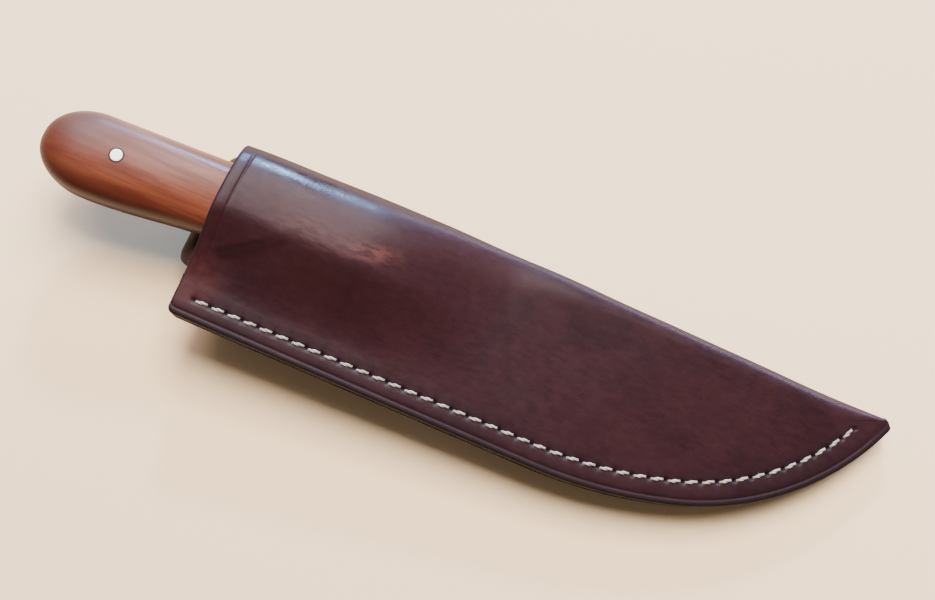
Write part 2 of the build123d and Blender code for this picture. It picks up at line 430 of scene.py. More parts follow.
def dress(tree, shader, colour, rough, relief, depth):
    """The shader's colour, its roughness, and a relief depth millimetres high from its 0 to its 1."""
    inputs = {"Height": relief, "Distance": depth * MM, "Strength": 1.0}
    bump = add_node(tree, "ShaderNodeBump", inputs).outputs[0]
    feed(tree, shader.inputs["Base Color"], colour)
    feed(tree, shader.inputs["Roughness"], rough)
    feed(tree, shader.inputs["Normal"], bump)


def attribute(tree, name):
    """A value that the mesh holds at each point."""
    return add_node(tree, "ShaderNodeAttribute", attribute_name=name).outputs["Fac"]


# ---- colours ----
OXBLOOD_DEEP = (0.0122, 0.0031, 0.0046)
OXBLOOD = (0.0190, 0.0047, 0.0062)
OXBLOOD_MOTTLE = (0.026, 0.0072, 0.0078)
OXBLOOD_FIBRE = (0.009, 0.0019, 0.0028)
WORN_RED = (0.052, 0.0115, 0.0105)
RUBBED_PINK_SHEEN = (0.078, 0.023, 0.019)
PAINTED_SHEEN_GREY = (0.055, 0.022, 0.020)
BLACK_SPECK = (0.004, 0.002, 0.002)
BURNISH_AND_SHADE_DARK = (0.0045, 0.0018, 0.0026)
FLESH_DARK = (0.045, 0.013, 0.009)
FLESH_LIGHT = (0.13, 0.038, 0.020)
FLESH_STREAK = (0.03, 0.009, 0.008)
FLESH_PAINTED_SHADE = (0.020, 0.0085, 0.0095)
WELT_BLACK = (0.006, 0.0025, 0.003)
WELT_BROWN = (0.018, 0.007, 0.006)
WELT_SPECK = (0.03, 0.011, 0.009)
THREAD_GREY = (0.24, 0.225, 0.19)
THREAD_PALE = (0.44, 0.425, 0.375)
THREAD_STAIN = (0.14, 0.10, 0.07)
THREAD_SHADE = (0.012, 0.006, 0.006)
WOOD_DARK = (0.078, 0.0175, 0.0085)
WOOD_LIGHT = (0.124, 0.0355, 0.0175)
WOOD_STREAK_DARK = (0.080, 0.012, 0.0045)
WOOD_STREAK_LIGHT = (0.165, 0.046, 0.021)
WOOD_PORE = (0.040, 0.008, 0.004)
WOOD_RIM_SHADE = (0.028, 0.005, 0.003)
WOOD_PAINTED_SHEEN_BUTT = (0.085, 0.046, 0.042)
WOOD_PAINTED_SHEEN = (0.175, 0.098, 0.080)
WOOD_PIN_RING = (0.006, 0.003, 0.003)
WOOD_BELLY_SHADE = (0.036, 0.0062, 0.0036)
WOOD_BUTT = (0.052, 0.0085, 0.0045)
WOOD_BUTT_SHEEN = (0.085, 0.050, 0.046)
PIN_HIGHLIGHT_GREY = (0.93, 0.93, 0.92)
PIN_HIGHLIGHT_WHITE = (1.0, 0.99, 0.97)
STEEL_DARK = (0.20, 0.20, 0.205)
STEEL_LIGHT = (0.34, 0.335, 0.325)
STEEL_WORN = (0.17, 0.16, 0.15)
STEEL_MARK = (0.012, 0.012, 0.013)
BOARD = (0.82, 0.605, 0.37)

# ---- where the marks are: centre and half-sizes on the knife plane ----
WORN_CORNER = ((3, -51), (16, 16))
# A rub at the handle's front end, its lightness partly painted sheen.
RUB_AND_SHEEN = ((56, -20), (15, 5.5))
RUB_TURN = -14
# Where painted sheen lies on the handle's swelling.
SHEEN_SWELL = ((34, -20), (30, 9))
SPECK = ((91.1, -29.1), (0.9, 0.8))
HANDLED = ((26, -5.5), (30, 10))
# Where painted sheen lies on the handle's top.
SHEEN_TOP = ((-28, -14), (46, 15))
# A thin dark ring round the visible pin.
PIN_RING = ((-37.5, -23.2), (2.9, 2.9))
PIN_RING_SOFTNESS = 0.12
DARK_BUTT = ((-66, -24), (26, 30))
# Where painted sheen lies on the butt's upper side.
BUTT_SHEEN = ((-53, -17), (19, 13))
FIRST_DEPTH_MARK = 80.0
LAST_DEPTH_MARK = 220.0
DEPTH_MARK_GAP = 10.0
DEPTH_MARK_ENDS = (-15.0, -10.0)


# ---- materials ----
def leather_material():
    """Oiled oxblood leather: mottled dye, burnished edges, a worn mouth corner, painted sheen on the
    swelling and rub, painted shade in creases.
    """
    material, tree, shader, local = new_material("oxblood_leather")
    clouds = noise(tree, local, 0.035, 3, 0.5, 0.6)
    mottle = noise(tree, local, 0.30, 4, 0.55)
    fibre = noise(tree, stretch(tree, local, (0.30, 1, 1)), 0.7, 3, 0.5)
    colour = mix(tree, spread(tree, clouds, 0.3, 0.7), OXBLOOD_DEEP, OXBLOOD)
    colour = mix(tree, spread(tree, mottle, 0.35, 0.75, 0, 0.35), colour, OXBLOOD_MOTTLE)
    colour = mix(tree, spread(tree, fibre, 0.3, 0.5, 0.10, 0), colour, OXBLOOD_FIBRE)
    speckled = spread(tree, mottle, 0.25, 0.65, 0.35, 1)
    worn = times(tree, patch(tree, local, *WORN_CORNER), speckled)
    colour = tint(tree, colour, worn, 0.60, WORN_RED)
    streaked = spread(tree, fibre, 0.35, 0.62, 0.15, 1)
    # A rubbed mark at the handle's front end, lightened partly by painted sheen.
    inputs = {"Vector": local, "Center": (*RUB_AND_SHEEN[0], 0), "Angle": math.radians(RUB_TURN)}
    along_rub = add_node(tree, "ShaderNodeVectorRotate", inputs, rotation_type="Z_AXIS").outputs[0]
    rub_and_sheen = times(tree, patch(tree, along_rub, *RUB_AND_SHEEN), streaked)
    colour = tint(tree, colour, rub_and_sheen, 0.8, RUBBED_PINK_SHEEN)
    # Painted sheen: the swelling tinted dull grey-pink for its broad reflection.
    swell_sheen = times(tree, patch(tree, local, *SHEEN_SWELL), streaked)
    colour = tint(tree, colour, swell_sheen, 0.6, PAINTED_SHEEN_GREY)
    colour = tint(tree, colour, patch(tree, local, *SPECK), 0.8, BLACK_SPECK)
    # Burnished dark edges, plus painted shade in the edge crease, the stitch holes and the diagonal crease.
    edge = attribute(tree, "burnish_and_shade")
    colour = tint(tree, colour, edge, 0.9, BURNISH_AND_SHADE_DARK)
    polish = spread(tree, fibre, 0.3, 0.7, 0.33, 0.41)
    handled = times(tree, patch(tree, local, *HANDLED), 0.13)
    dull_turn = times(tree, attribute(tree, "turn"), 0.3)
    dull = calc(tree, "ADD", dull_turn, times(tree, edge, 0.3))
    rough = calc(tree, "ADD", calc(tree, "SUBTRACT", polish, handled), dull)
    pores = noise(tree, local, 2.4, 2, 0.5)
    relief = calc(tree, "ADD", times(tree, pores, 0.35), times(tree, fibre, 0.5))
    relief = calc(tree, "ADD", relief, times(tree, mottle, 1.3))
    shader.inputs["Specular IOR Level"].default_value = 0.32
    dress(tree, shader, colour, rough, relief, 0.035)
    return material


def flesh_material():
    """The leather's fibrous back, which faces outward round the belt loop: redder and dull, with painted
    shade toward its belly side.
    """
    material, tree, shader, local = new_material("leather_flesh_side")
    nap = noise(tree, local, 1.4, 6, 0.75)
    streak = noise(tree, stretch(tree, local, (0.3, 1.5, 1)), 0.9, 4, 0.7)
    colour = mix(tree, spread(tree, nap, 0.3, 0.7), FLESH_DARK, FLESH_LIGHT)
    colour = mix(tree, spread(tree, streak, 0.35, 0.65, 0, 0.5), colour, FLESH_STREAK)
    # Painted shade: the flesh side darker toward the belly side.
    belly_shade = spread(tree, axes(tree, local)[1], -30, -43, 0, 0.75)
    colour = mix(tree, belly_shade, colour, FLESH_PAINTED_SHADE)
    rough = spread(tree, nap, 0.2, 0.8, 0.6, 0.85)
    dress(tree, shader, colour, rough, calc(tree, "ADD", nap, streak), 0.18)
    return material


def welt_material():
    """Burnished cut edges: nearly black, waxed, with fine layer lines along them."""
    material, tree, shader, local = new_material("burnished_welt")
    layers = noise(tree, stretch(tree, local, (0.05, 0.05, 1.6)), 1.0, 3, 0.6)
    specks = noise(tree, local, 1.5, 4, 0.7)
    colour = mix(tree, spread(tree, layers, 0.35, 0.65), WELT_BLACK, WELT_BROWN)
    colour = mix(tree, spread(tree, specks, 0.55, 0.75, 0, 0.6), colour, WELT_SPECK)
    relief = calc(tree, "ADD", layers, times(tree, specks, 0.5))
    shader.inputs["Specular IOR Level"].default_value = 0.12
    dress(tree, shader, colour, spread(tree, specks, 0.2, 0.8, 0.5, 0.7), relief, 0.15)
    return material


def thread_material():
    """Waxed off-white cord, with painted shade between its plies and where it dives into its holes."""
    material, tree, shader, local = new_material("waxed_thread")
    fuzz = noise(tree, local, 3.0, 4, 0.7)
    stain = noise(tree, local, 0.35, 3, 0.6)
    colour = mix(tree, spread(tree, fuzz, 0.3, 0.7), THREAD_GREY, THREAD_PALE)
    colour = mix(tree, spread(tree, stain, 0.45, 0.7, 0, 0.45), colour, THREAD_STAIN)
    colour = mix(tree, attribute(tree, "sunk"), colour, THREAD_SHADE)
    shader.inputs["Sheen Weight"].default_value = 0.15
    dress(tree, shader, colour, 0.62, fuzz, 0.06)
    return material


def wood_material():
    """Oiled reddish wood, grained along the handle, with painted sheen on top and butt, painted shade at
    its rim and belly, and dark at its butt.
    """
    material, tree, shader, local = new_material("oiled_wood")
    inputs = {0: local, 1: (0.0, 4.0, 9.0)}
    bent = add_node(tree, "ShaderNodeVectorMath", inputs, operation="ADD").outputs[0]
    bands = noise(tree, stretch(tree, bent, (0.016, 0.22, 0.18)), 1.0, 4, 0.55, 1.0)
    streaks = noise(tree, stretch(tree, bent, (0.05, 1.3, 1.2)), 1.0, 5, 0.6, 0.4)
    pores = noise(tree, stretch(tree, bent, (0.22, 5.0, 5.0)), 1.0, 3, 0.6)
    rim = attribute(tree, "rim")
    x, y = axes(tree, local)
    colour = mix(tree, spread(tree, bands, 0.32, 0.68), WOOD_DARK, WOOD_LIGHT)
    colour = mix(tree, spread(tree, streaks, 0.48, 0.72, 0, 0.45), colour, WOOD_STREAK_DARK)
    colour = mix(tree, spread(tree, streaks, 0.44, 0.28, 0, 0.35), colour, WOOD_STREAK_LIGHT)
    colour = mix(tree, spread(tree, pores, 0.62, 0.74, 0, 0.4), colour, WOOD_PORE)
    # Painted shade at the scale's rim, where it turns away from the light.
    colour = tint(tree, colour, rim, 0.75, WOOD_RIM_SHADE)
    # Painted sheen: the handle's top tinted pale greyish pink for its reflection, darker toward the butt.
    banded = spread(tree, bands, 0.3, 0.6, 0.45, 1)
    top_sheen = times(tree, patch(tree, local, *SHEEN_TOP), banded)
    sheen_colour = mix(tree, spread(tree, x, -60, -25), WOOD_PAINTED_SHEEN_BUTT, WOOD_PAINTED_SHEEN)
    colour = tint(tree, colour, top_sheen, 0.85, sheen_colour)
    # A thin dark ring round the pin.
    stain = patch(tree, local, *PIN_RING, PIN_RING_SOFTNESS)
    colour = tint(tree, colour, stain, 0.95, WOOD_PIN_RING)
    # Painted shade: the handle darker toward its belly side, which faces away from the light.
    colour = mix(tree, spread(tree, y, -30.0, -38.0, 0, 0.85), colour, WOOD_BELLY_SHADE)
    colour = tint(tree, colour, patch(tree, local, *DARK_BUTT), 0.55, WOOD_BUTT)
    # Painted sheen: the butt's upper side tinted grey-mauve.
    colour = tint(tree, colour, patch(tree, local, *BUTT_SHEEN), 0.75, WOOD_BUTT_SHEEN)
    polish = spread(tree, streaks, 0.3, 0.7, 0.28, 0.37)
    rough = calc(tree, "ADD", polish, times(tree, rim, 0.45))
    relief = calc(tree, "SUBTRACT", times(tree, streaks, 0.5), times(tree, pores, 0.6))
    shader.inputs["Specular IOR Level"].default_value = 0.28
    dress(tree, shader, colour, rough, relief, 0.035)
    return material


def pin_material():
    """The pins' steel, painted near white for its highlight, with a few scratches across them."""
    material, tree, shader, local = new_material("polished_pin")
    scratches = noise(tree, stretch(tree, local, (6, 0.6, 1)), 1.0, 3, 0.6)
    # Painted highlight: the steel's colour set near white.
    colour = mix(tree, scratches, PIN_HIGHLIGHT_GREY, PIN_HIGHLIGHT_WHITE)
    shader.inputs["Metallic"].default_value = 0.15
    dress(tree, shader, colour, spread(tree, scratches, 0.3, 0.7, 0.22, 0.38), scratches, 0.01)
    return material


def depth_marks(tree, local):
    """1 on the short lines across the blade, one every 10 mm, that show a planting depth."""
    x, y = axes(tree, local)
    past = calc(tree, "SUBTRACT", x, FIRST_DEPTH_MARK - DEPTH_MARK_GAP)
    beat = calc(tree, "PINGPONG", past, DEPTH_MARK_GAP / 2)
    tick = spread(tree, beat, 0.45, 0.3)
    low, high = DEPTH_MARK_ENDS
    band = times(tree, spread(tree, y, low - 0.2, low), spread(tree, y, high + 0.2, high))
    start = spread(tree, x, FIRST_DEPTH_MARK - 1.0, FIRST_DEPTH_MARK - 0.6)
    end = spread(tree, x, LAST_DEPTH_MARK + 1.0, LAST_DEPTH_MARK + 0.6)
    return times(tree, times(tree, tick, band), times(tree, start, end))


def steel_material():
    """Satin ground steel: fine lines across the blade, light wear and the depth marks."""
    material, tree, shader, local = new_material("satin_steel")
    lines = noise(tree, stretch(tree, local, (7.0, 0.12, 0.12)), 1.0, 4, 0.7)
    clouds = noise(tree, local, 0.06, 3, 0.55)
    marks = depth_marks(tree, local)
    colour = mix(tree, spread(tree, lines, 0.3, 0.7), STEEL_DARK, STEEL_LIGHT)
    colour = mix(tree, spread(tree, clouds, 0.45, 0.75, 0, 0.35), colour, STEEL_WORN)
    colour = tint(tree, colour, marks, 0.85, STEEL_MARK)
    relief = calc(tree, "SUBTRACT", times(tree, lines, 0.4), marks)
    shader.inputs["Metallic"].default_value = 1.0
    dress(tree, shader, colour, spread(tree, lines, 0.25, 0.75, 0.27, 0.42), relief, 0.03)
    return material


def floor_material():
    """A plain pale matt board."""
    material = bpy.data.materials.new("pale_floor")
    material.use_nodes = True
    shader = material.node_tree.nodes["Principled BSDF"]
    shader.inputs["Base Color"].default_value = (*BOARD, 1.0)
    shader.inputs["Roughness"].default_value = 0.7
    return material


LEATHER_LOOK = leather_material()
FLESH_LOOK = flesh_material()
EDGE_LOOK = welt_material()

# ---- the folded leather ----
EDGE_ROWS = (0.0, 0.05, 0.2, 0.5, 0.95, 1.5, 1.95, 2.3, 2.65, 3.1, 4.0, 5.2)
BAND_ROWS = (-1.5, -0.85, -0.4, 0.0, 0.4, 0.85, 1.6)
PANEL_ROWS_START = 11.5
FRONT_PANEL_ROWS = 30
BACK_PANEL_ROWS = 14
FRONT_FOLD_ROWS = 26
BACK_FOLD_ROWS = 11
FOLD_GATHER = 1.7
GATHER_REACH = 15.0
REACH_ROUNDS = 20
MOUTH_COLUMNS = (0, 0.06, 0.2, 0.45, 0.8, 1.4, 2.4, 3.4, 4.05, 4.45, 4.75, 5.0, 5.3, 5.75, 6.3)
STITCH_COLUMNS = (0.0, 0.08, 0.2, 0.4, 0.6, 0.8, 0.92)
TIP_COLUMNS = 16


def column_runs():
    """Belly-edge runs of the mesh columns, gathered at the mouth, its crease and every hole."""
    steps = np.diff(HOLES)[:, None]
    stitched = HOLES[:-1, None] + steps * np.array(STITCH_COLUMNS)[None, :]
    tail = np.linspace(HOLES[-1], belly_length(), TIP_COLUMNS)
    return np.concatenate((MOUTH_COLUMNS, stitched.ravel(), tail))


def panel_layout(runs, side):
    """For each column: its edge point, inward normal, the panel's length along it and the fold's depth."""
    edge, inward = belly_edge(runs)
    reach = np.full(len(runs), SHEATH_WIDTH)
    for _ in range(REACH_ROUNDS):
        x = edge[:, 0] + reach * inward[:, 0]
        rise = spine_edge(x) - edge[:, 1]
        depth = np.minimum(fold_round(x, side)[0], rise / 2)
        reach = (reach + (rise - depth) / inward[:, 1]) / 2
    return edge, inward, reach, depth


def row_gaps(runs, reach, panel_rows):
    """Distances from the belly edge of a panel's rows, one line of numbers for each row."""
    squeeze = np.minimum(1, reach / GATHER_REACH)
    inset = stitch_inset(runs)
    rows = [gap * squeeze for gap in EDGE_ROWS]
    rows += [(inset + gap) * squeeze for gap in BAND_ROWS]
    start = PANEL_ROWS_START * squeeze
    rows += [start + (reach - start) * share for share in np.linspace(0, 1, panel_rows + 1)[:-1]]
    return np.array(rows)


def half_surface(runs, side, panel_rows, fold_rows):
    """One side's smooth form as rows from its belly edge to the middle of the spine's fold."""
    edge, inward, reach, depth = panel_layout(runs, side)
    gaps = row_gaps(runs, reach, panel_rows)
    x = edge[:, 0] + gaps * inward[:, 0]
    y = edge[:, 1] + gaps * inward[:, 1]
    panel = np.stack((x, y, height(x, y, side)), -1)
    x = edge[:, 0] + reach * inward[:, 0]
    start = edge[:, 1] + reach * inward[:, 1]
    top = HALF_SLAB + BULGE * along_handle(x)
    power = fold_round(x, side)[1]
    fold = []
    for share in np.linspace(0, 1, fold_rows + 1):
        out = 1 - (1 - share) ** FOLD_GATHER
        at = start + depth * out
        level = top * (1 - out**power) ** (1 / power) - fallen(x, at, side) * (1 - out)
        fold.append(np.stack((x, at, level), -1))
    far = np.full((fold_rows + 1, len(runs)), SHEATH_WIDTH)
    points = np.concatenate((panel, np.array(fold))) * (1, 1, side)
    return points, np.concatenate((gaps, far)), depth


def folded_surface():
    """The outer face's smooth form as rows from the front belly edge over the spine to the back one."""
    runs = column_runs()
    front, front_gaps, front_depth = half_surface(runs, 1, FRONT_PANEL_ROWS, FRONT_FOLD_ROWS)
    back, back_gaps, back_depth = half_surface(runs, -1, BACK_PANEL_ROWS, BACK_FOLD_ROWS)
    surface = np.concatenate((front, back[::-1][1:]))
    gaps = np.concatenate((front_gaps, back_gaps[::-1][1:]))
    return surface, gaps, runs, np.minimum(front_depth, back_depth)


# Each mark is its distance from an edge or line, its rise (a groove's is negative) and its width.
MOUTH_RIM = 0.75
BELLY_RIM = 0.85
EDGE_CREASE = (2.3, -0.24, 0.30)
BAND_SWELL = (4.6, 0.08, 1.5)
MOUTH_CREASE = (4.9, -0.20, 0.36)
MOUTH_LIP = (2.3, 0.14, 1.6)
SEAM_SINK = (0.0, -0.14, 1.1)
SEAM_FADE = 1.5
HOLE_SINK = (0.0, -0.9, 0.6)
CREASE_START = np.array((4.9, -41.5))
CREASE_END = np.array((29.5, -25.5))
CREASE_LIP = (-1.1, 0.12, 1.0)
CREASE_FOLD = (0.1, -0.26, 0.45)
CREASE_HOLLOW = 0.45
POLISHED = ((25.0, -5.5), (15.0, 9.0))
POLISHED_SWELL = 0.25
WRINKLE_SLANT = 0.5
WRINKLES = ((98.0, 0.12, 2.2), (128.0, 0.10, 3.0))
EDGE_SHARE = 0.35
EDGE_BAND = 10.0


def ridge(distance, mark):
    """A soft ridge, or a groove where the mark's rise is negative."""
    place, rise, width = mark
    return rise * dent(distance - place, width)


def beside_crease(x, y):
    """The distance below the diagonal crease, and how strong the crease is there."""
    line = CREASE_END - CREASE_START
    length = np.linalg.norm(line)
    line = line / length
    share = ((x - CREASE_START[0]) * line[0] + (y - CREASE_START[1]) * line[1]) / length
    beside = (x - CREASE_START[0]) * line[1] - (y - CREASE_START[1]) * line[0]
    return beside, smooth(share / 0.15) * (1 - smooth((share - 0.8) / 0.3))


def diagonal_crease(x, y):
    """The crease across the handle's swelling: a fine fold with the leather drawn down below it."""
    beside, inside = beside_crease(x, y)
    hollow = CREASE_HOLLOW * smooth(beside / 3) * (1 - smooth((beside - 3) / 10))
    return inside * (ridge(beside, CREASE_LIP) + ridge(beside, CREASE_FOLD) - hollow)


def wander(x, y):
    """The gentle unevenness of hand-formed leather, with two slanting wrinkles."""
    wave = 0.10 * np.sin(x / 9.3 + 0.6) * np.sin(y / 11.0 + 1.0)
    wave += 0.07 * np.sin((x + 1.4 * y) / 6.1)
    wrinkle = sum(ridge(x + WRINKLE_SLANT * y, mark) for mark in WRINKLES)
    return wave - wrinkle * smooth((y + 60) / 20) * smooth((-6 - y) / 10)


def outer_relief(surface, gaps, runs):
    """The finished outer face's height over its smooth form, and each point's distance from a hole."""
    x, y, z = np.moveaxis(surface, -1, 0)
    mouth = np.broadcast_to(runs[None, :], x.shape)
    joins_strap = (z < -HALF_SLAB) & (np.abs(y - STRAP_MIDDLE) < SHOULDER_HALF_WIDTH)
    relief = -np.where(joins_strap, 0, corner_cut(mouth, MOUTH_RIM, MOUTH_RIM))
    relief -= corner_cut(gaps, BELLY_RIM, BELLY_RIM)
    relief += ridge(gaps, EDGE_CREASE) + ridge(gaps, BAND_SWELL)
    creased = smooth((y + 50) / 8) * smooth((-1.5 - y) / 3) * (z > -HALF_WELT)
    relief += (ridge(mouth, MOUTH_CREASE) + ridge(mouth, MOUTH_LIP)) * creased
    beside = gaps - stitch_inset(runs)[None, :]
    started = np.clip((runs - FIRST_HOLE) / SEAM_FADE + 1, 0, 1)
    going = np.clip((HOLES[-1] - runs) / SEAM_FADE + 1, 0, 1)
    nearest = np.abs(runs[:, None] - HOLES[None, :]).min(1)[None, :]
    hole = np.sqrt(nearest**2 + beside**2)
    seam = ridge(beside, SEAM_SINK) * (started * going)[None, :] + ridge(hole, HOLE_SINK)
    relief += np.where(gaps < SHEATH_WIDTH, seam, 0)
    (x_middle, y_middle), (long, wide) = POLISHED
    swell = POLISHED_SWELL * dent(x - x_middle, long) * dent(y - y_middle, wide)
    relief += np.where(z > 0, diagonal_crease(x, y) + swell, 0)
    relief += wander(x, y) * np.where(gaps > EDGE_BAND, 1, EDGE_SHARE) * smooth(mouth / 6)
    return relief, hole


def burnish_and_shade_marks(surface, gaps, runs, hole):
    """How dark the outer face is, 0 to 1: burnished edges, bands by the seam, painted shade in creases and
    holes.
    """
    mouth = np.broadcast_to(runs[None, :], gaps.shape)
    inside_seam = gaps - stitch_inset(runs)[None, :] - 1.0
    beside, inside = beside_crease(surface[..., 0], surface[..., 1])
    marks = (
        dent(gaps, 2.0),
        dent(mouth, 0.8),
        dent(belly_length() - mouth, 0.9),
        # painted shade in the edge crease's groove
        0.55 * dent(gaps - EDGE_CREASE[0], 0.45),
        # painted shade in the stitch holes
        1.5 * dent(hole, 0.75),
        0.35 * dent(inside_seam, 2.2) * smooth(mouth / 25),
        0.25 * (gaps < 5.5),
        # painted shade along the diagonal crease
        0.55 * inside * dent(beside, 0.4) * (surface[..., 2] > 0),
    )
    return np.clip(np.max(marks, axis=0), 0, 1)


# The least darkness of the leather's inner face.
INSIDE_DARKENING = 0.3
FOLD_INSIDE = 0.75


def make_leather():
    """The sheath's one piece of leather: a closed shell whose cut edges have the burnished look."""
    surface, gaps, runs, depth = folded_surface()
    normal = row_normals(surface)
    relief, hole = outer_relief(surface, gaps, runs)
    outer = surface + normal * relief[..., None]
    full = np.full(len(runs), LEATHER)
    thick = np.stack((full, np.minimum(LEATHER, FOLD_INSIDE * depth), full), -1)
    inner = surface - normal * thick[None, :, :]
    rows, columns = surface.shape[:2]
    count = rows * columns
    faces = [grid_faces(rows, columns), grid_faces(rows, columns, start=count)[:, ::-1]]
    face_count = 2 * len(faces[0])
    for rim in (
        np.arange(rows) * columns,
        (np.arange(rows) * columns + columns - 1)[::-1],
        np.arange(columns)[::-1],
        (rows - 1) * columns + np.arange(columns),
    ):
        a, b = rim[:-1], rim[1:]
        faces.append(np.stack((a, b, b + count, a + count), -1))
    faces = np.concatenate(faces)[:, ::-1]
    dark = burnish_and_shade_marks(surface, gaps, runs, hole)
    burnish_and_shade = np.concatenate((dark.ravel(), np.maximum(dark, INSIDE_DARKENING).ravel()))
    turn = smooth((np.abs(normal[..., 1]) * (gaps > EDGE_BAND) - 0.6) / 0.3).ravel()
    make_piece(
        "sheath_leather_skin", "sheath", "sheath_leather",
        np.concatenate((outer.reshape(-1, 3), inner.reshape(-1, 3))), faces, [LEATHER_LOOK, EDGE_LOOK],
        {"burnish_and_shade": burnish_and_shade, "turn": np.concatenate((turn, turn))},
        np.arange(len(faces)) >= face_count,
    )


# ---- the belt loop, which runs on from the back panel ----
def on_plane(point):
    """The knife-plane x and z of a point given by its frame X and Z in millimetres."""
    offset = np.array((point[0], ORIGIN[1], point[1])) - ORIGIN
    return np.array((offset @ ALONG, offset @ NORMAL))


def round_corners(corners, radii, steps):
    """A path through corners with each one turned as an arc of its radius."""
    path = [corners[0]]
    for before, corner, after, radius in zip(corners, corners[1:], corners[2:], radii):
        into = (corner - before) / np.linalg.norm(corner - before)
        out = (after - corner) / np.linalg.norm(after - corner)
        turn = math.acos(np.clip(into @ out, -1, 1))
        cut = radius * math.tan(turn / 2)
        side = np.array((-into[1], into[0]))
        side *= np.sign(side @ out)
        centre = corner - into * cut + side * radius
        for share in np.linspace(0, 1, steps):
            angle = turn * share
            path.append(centre + radius * (math.sin(angle) * into - math.cos(angle) * side))
    path.append(corners[-1])
    return np.array(path)


def spaced(path, gap):
    """The path's points at even spacing, no further apart than gap."""
    total = lengths_along(path)
    at = np.linspace(0, total[-1], math.ceil(total[-1] / gap) + 1)
    return np.stack([np.interp(at, total, path[:, k]) for k in range(path.shape[1])], -1)


def strap_path():
    """The middle of the strap's thickness, from the back panel round its fold and back up to its seam."""
    floor = LEATHER / 2
    nose = LEATHER / 2 - STRAP_OUT
    corners = [
        np.array((STRAP_START, -STRAP_TOP)),
        np.array((nose, -STRAP_TOP)),
        on_plane((ORIGIN[0] + nose * ALONG[0], floor)),
        on_plane((ORIGIN[0] + STRAP_FLAT_END, floor)),
        np.array((STRAP_LIFT, -STRAP_SEWN)),
        np.array((STRAP_END, -STRAP_SEWN)),
    ]
    return spaced(round_corners(corners, STRAP_BENDS, BEND_STEPS), STRAP_STEP)


def back_lift(y):
    """How far the back panel's face at y lies above its lowest level, beside the strap's middle."""
    inside = np.clip((y + BACK_ROUND) / BACK_ROUND, 0, 0.97)
    at_fold = (HALF_SLAB + BULGE) * (1 - np.sqrt(1 - inside**2))
    return np.maximum(at_fold, HALF_SLAB + BULGE - height(0, y, -1)) + 0.03


def make_strap():
    """The belt loop's strap: wide shoulders at the mouth, then an even width with rounded edges."""
    path = strap_path()
    tangent = np.gradient(path, axis=0)
    tangent /= np.linalg.norm(tangent, axis=1, keepdims=True)
    side = np.stack((-tangent[:, 1], tangent[:, 0]), -1)
    lengths = lengths_along(path)
    left = lengths[-1] - lengths
    past = np.clip((lengths - STRAP_START) / SHOULDER_LENGTH, 0, 1)
    shoulders = (np.sqrt(1 - past**2), 1 - past**SHOULDER_POWER)
    attached = smooth((STRAP_START + STRAP_MERGE[0] - lengths) / STRAP_MERGE[1])
    behind = smooth((STRAP_START + TUCK_LENGTH / 2 - lengths) / TUCK_LENGTH)
    near_end = np.clip(left / STRAP_END_CORNER[0], 0, 1)
    half_thick = LEATHER / 2 * np.where(left < STRAP_STEP, THIN_END, 1)
    swing, length, skew = STRAP_WAVE
    across = np.linspace(-1, 1, STRAP_RING)
    ring = []
    for share, face in [(k, 1) for k in across] + [(k, -1) for k in across[::-1]]:
        upper = int(share > 0)
        half_width = STRAP_HALF_WIDTH + SHOULDER_SWELL[upper] * shoulders[upper]
        half_width = half_width - SHOULDER_TUCK[upper] * behind - corner_cut(left, *STRAP_END_CORNER)
        y = STRAP_MIDDLE + share * half_width
        thick = half_thick - corner_cut((1 - abs(share)) * half_width, STRAP_EDGE, STRAP_EDGE)
        wave = swing * np.sin(lengths / length + share * skew) * (1 - share**2)
        lift = face * thick + wave * (1 - attached) * near_end
        x = path[:, 0] + side[:, 0] * lift
        z = path[:, 1] + side[:, 1] * lift + attached * back_lift(y)
        ring.append(np.stack((x, y, z), -1))
    points, faces = ring_loft(np.stack(ring, 1))
    index = [int(face[0] % len(ring) >= STRAP_RING) for face in faces]
    at_edge = np.abs(np.concatenate((across, across[::-1]))) == 1
    dark = np.where(at_edge, STRAP_BURNISH[1], STRAP_BURNISH[0])
    make_piece(
        "belt_loop_strap", "sheath", None,
        points, faces, [LEATHER_LOOK, FLESH_LOOK], {"burnish_and_shade": np.tile(dark, len(path))}, index,
    )


# ---- the welt between the panels ----
WELT_WIDTH = 10.5
WELT_STEP = 1.0
WELT_DOME = 0.55
WELT_DOME_STEPS = 9
WELT_SHARE = 0.6
WELT_END = 0.05
# How far the welt's edge lies inside the leather's: everywhere, more at the tip, and its waviness.
WELT_BACK = (0.05, 0.35, 0.06)
TIP_REACH = (70.0, 60.0)


def make_welt():
    """The strip between the two panels, its outer edge domed, waxed and set back a little at the tip."""
    runs = np.concatenate((np.arange(0, belly_length(), WELT_STEP), (belly_length() - WELT_END,)))
    edge, inward = belly_edge(runs)
    rise = spine_edge(edge[:, 0]) - edge[:, 1]
    width = np.minimum(WELT_WIDTH, WELT_SHARE * rise / inward[:, 1])
    tip = smooth((runs - belly_length() + TIP_REACH[0]) / TIP_REACH[1])
    set_back = WELT_BACK[0] + WELT_BACK[1] * tip + WELT_BACK[2] * np.sin(runs / 5.0)
    angles = np.linspace(-np.pi / 2, np.pi / 2, WELT_DOME_STEPS)
    insets = [np.minimum(set_back + WELT_DOME * (1 - math.cos(angle)), 0.5 * width) for angle in angles]
    levels = [HALF_WELT * math.sin(angle) for angle in angles]
    rings = []
    for inset, z in zip(insets + [width, width], levels + [HALF_WELT, -HALF_WELT]):
        point = edge + inward * inset[:, None]
        rings.append(np.stack((point[:, 0], point[:, 1], np.full(len(runs), z)), -1))
    points, faces = ring_loft(np.stack(rings, 1))
    make_piece("welt_strip", "sheath", "sheath_welt", points, faces, [EDGE_LOOK])


